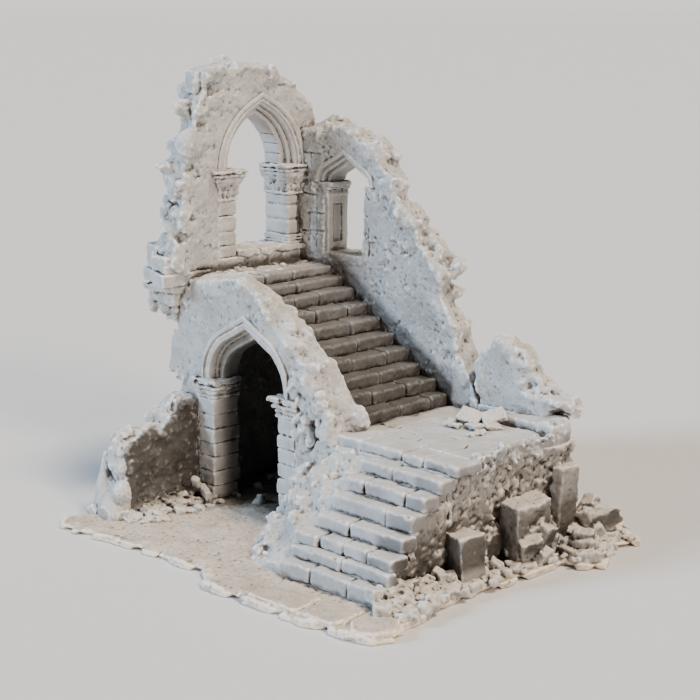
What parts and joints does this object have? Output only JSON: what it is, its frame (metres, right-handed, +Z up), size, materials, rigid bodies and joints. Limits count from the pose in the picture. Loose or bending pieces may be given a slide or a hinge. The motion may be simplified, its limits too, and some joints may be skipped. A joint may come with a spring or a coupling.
{
  "type": "miniature terrain ruin",
  "caption": "Tabletop terrain piece: a ruined gothic stair with a pointed door, two pointed windows, an L-shaped flight with a landing, broken walls and rubble on a ragged base.",
  "frame": {"origin": "middle of the underside of the ground slab, at the centre of the whole model's footprint", "axes": "+Z up; the door and the foot of the stairs face -Y; the lower flight climbs towards +Y and the upper flight climbs towards -X"},
  "size_m": [0.1596, 0.136, 0.1429],
  "materials": {
    "ground": "matte, gravel texture with a beige wash",
    "rough_wall": "matte, pitted rubble plaster in light warm grey",
    "rubble": "matte, rough broken stone with dark wash in the gaps",
    "worn_step": "matte, dressed stone with worn edges and dark joints",
    "carved_trim": "matte, carved stone with a dark wash in the mouldings",
    "pin_plastic": "matte moulded dowel"
  },
  "bodies": {
    "root": {"base_slab": "ground", "door_arch_ring": "carved_trim", "door_capital_left": "carved_trim", "door_capital_right": "carved_trim", "door_hood_mould": "carved_trim", "door_jamb_left": "carved_trim", "door_jamb_right": "carved_trim", "end_wall": "rough_wall", "fallen_block_large": "rubble", "fallen_block_near": "rubble", "fallen_blocks_back": "rubble", "front_flagstones": "worn_step", "landing_core": "rubble", "landing_edge": "worn_step", "landing_paving": "worn_step", "landing_rubble": "rubble", "layered_slabs": "rubble", "ledge_block": "carved_trim", "ledge_corbel": "rubble", "ledge_slab": "carved_trim", "left_wall_stub": "rough_wall", "locating_pins": "pin_plastic", "lower_flight_core": "rubble", "lower_step_1": "worn_step", "lower_step_2": "worn_step", "lower_step_3": "worn_step", "lower_step_4": "worn_step", "lower_step_5": "worn_step", "lower_step_6": "worn_step", "lower_step_7": "worn_step", "north_wall": "rough_wall", "north_wall_stub": "rough_wall", "small_window_arch": "carved_trim", "small_window_impost": "carved_trim", "small_window_panel": "carved_trim", "small_window_sill": "carved_trim", "south_wall": "rough_wall", "stair_bank": "rubble", "stub_kerb": "worn_step", "top_floor": "worn_step", "top_floor_edge": "worn_step", "upper_flight_core": "rubble", "upper_step_1": "worn_step", "upper_step_2": "worn_step", "upper_step_3": "worn_step", "upper_step_4": "worn_step", "upper_step_5": "worn_step", "upper_step_6": "worn_step", "upper_step_7": "worn_step", "upper_step_8": "worn_step", "upper_step_9": "worn_step", "window_arch_ring": "carved_trim", "window_column_base": "carved_trim", "window_column_capital": "carved_trim", "window_column_shaft": "carved_trim", "window_hood_mould": "carved_trim", "window_pilaster": "carved_trim", "window_pilaster_capital": "carved_trim", "window_sill": "carved_trim", "yard_rubble": "rubble"}
  },
  "joints": []
}
